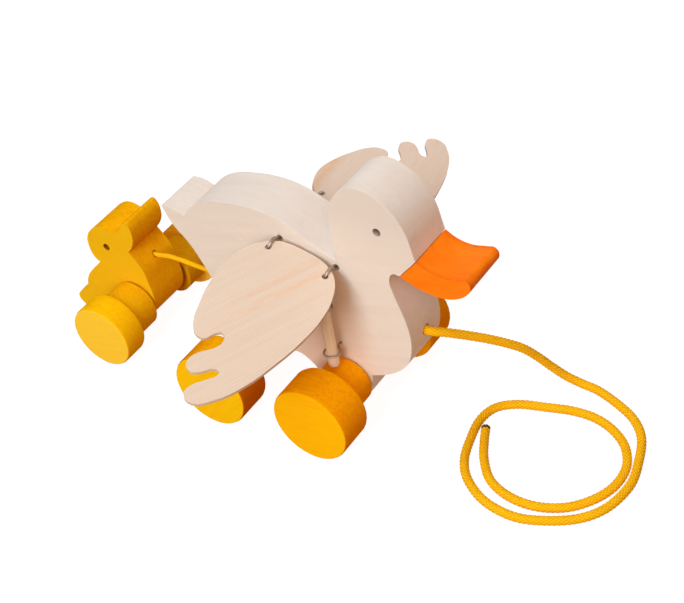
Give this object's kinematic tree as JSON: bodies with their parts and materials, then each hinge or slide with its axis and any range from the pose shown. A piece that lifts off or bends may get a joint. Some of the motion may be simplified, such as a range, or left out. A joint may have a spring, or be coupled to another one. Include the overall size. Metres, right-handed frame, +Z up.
{
  "type": "pull-along duck toy",
  "caption": "Wooden pull-along duck on wheels with hinged wings, push rods over eccentric hubs, a braided pull cord and a duckling towed behind on a thin cord.",
  "frame": {"origin": "on the ground, below the middle of the toy from the duckling's tail to the duck's beak", "axes": "+X forward towards the beak, +Y to the duck's left, +Z up"},
  "size_m": [0.3611, 0.2356, 0.153],
  "materials": {
    "painted_white": "thin white paint over wood grain",
    "painted_orange": "orange paint on wood",
    "ply": "bare thin ply",
    "dowel": "bare dowel",
    "stained_orange": "orange-yellow stain",
    "stained_yellow": "yellow stain",
    "steel_wire": "plain wire",
    "yellow_cord": "braided cotton cord"
  },
  "bodies": {
    "duck": {"duck_body": "painted_white", "beak": "painted_orange", "rod_guide_upper_right": "steel_wire", "rod_guide_lower_right": "steel_wire", "rod_guide_upper_left": "steel_wire", "rod_guide_lower_left": "steel_wire", "pull_cord": "yellow_cord"},
    "front_wheelset": {"front_axle": "dowel", "front_wheel_right": "stained_orange", "front_wheel_left": "stained_orange", "front_cam_right": "stained_orange", "front_cam_left": "stained_orange"},
    "rear_wheelset": {"rear_axle": "dowel", "rear_wheel_right": "stained_orange", "rear_wheel_left": "stained_orange", "rear_hub_right": "stained_orange", "rear_hub_left": "stained_orange"},
    "right_wing": {"wing_right": "ply", "wing_loop_front_right": "steel_wire", "wing_loop_rear_right": "steel_wire"},
    "left_wing": {"wing_left": "ply", "wing_loop_front_left": "steel_wire", "wing_loop_rear_left": "steel_wire"},
    "right_rod": {"push_rod_right": "dowel"},
    "left_rod": {"push_rod_left": "dowel"},
    "duckling": {"duckling_body": "stained_yellow", "tow_cord": "yellow_cord"},
    "duckling_wheelset": {"duckling_axle": "dowel", "duckling_wheel_right": "stained_yellow", "duckling_wheel_left": "stained_yellow", "duckling_hub_right": "stained_yellow", "duckling_hub_left": "stained_yellow"}
  },
  "joints": [
    {"name": "front_wheels_roll", "type": "hinge", "parent": "duck", "child": "front_wheelset", "pos_m": [0.05965, 0, 0.0225], "axis": [0, 1, 0], "continuous": true},
    {"name": "rear_wheels_roll", "type": "hinge", "parent": "duck", "child": "rear_wheelset", "pos_m": [-0.00535, 0, 0.0225], "axis": [0, 1, 0], "continuous": true},
    {"name": "right_wing_flap", "type": "hinge", "parent": "duck", "child": "right_wing", "pos_m": [0.04815, -0.0144, 0.1042], "axis": [-0.9641, 0, 0.2656], "range_deg": [0, 25]},
    {"name": "left_wing_flap", "type": "hinge", "parent": "duck", "child": "left_wing", "pos_m": [0.04815, 0.0144, 0.1042], "axis": [0.9641, 0, -0.2656], "range_deg": [0, 25]},
    {"name": "right_rod_lift", "type": "slide", "parent": "duck", "child": "right_rod", "axis": [0, 0, 1], "range_m": [0, 0.00385]},
    {"name": "left_rod_lift", "type": "slide", "parent": "duck", "child": "left_rod", "axis": [0, 0, 1], "range_m": [0, 0.00385]},
    {"name": "duckling_tow_swing", "type": "hinge", "parent": "duck", "child": "duckling", "pos_m": [-0.01955, 0, 0.055], "axis": [0, 0, 1], "range_deg": [-25, 25]},
    {"name": "duckling_wheels_roll", "type": "hinge", "parent": "duckling", "child": "duckling_wheelset", "pos_m": [-0.09405, 0.008, 0.0197], "axis": [0, 1, 0], "continuous": true}
  ],
  "couplings": [
    {"joint": "right_rod_lift", "follows": "right_wing_flap", "m_per_rad": 0.0088},
    {"joint": "left_rod_lift", "follows": "left_wing_flap", "m_per_rad": 0.0088}
  ]
}
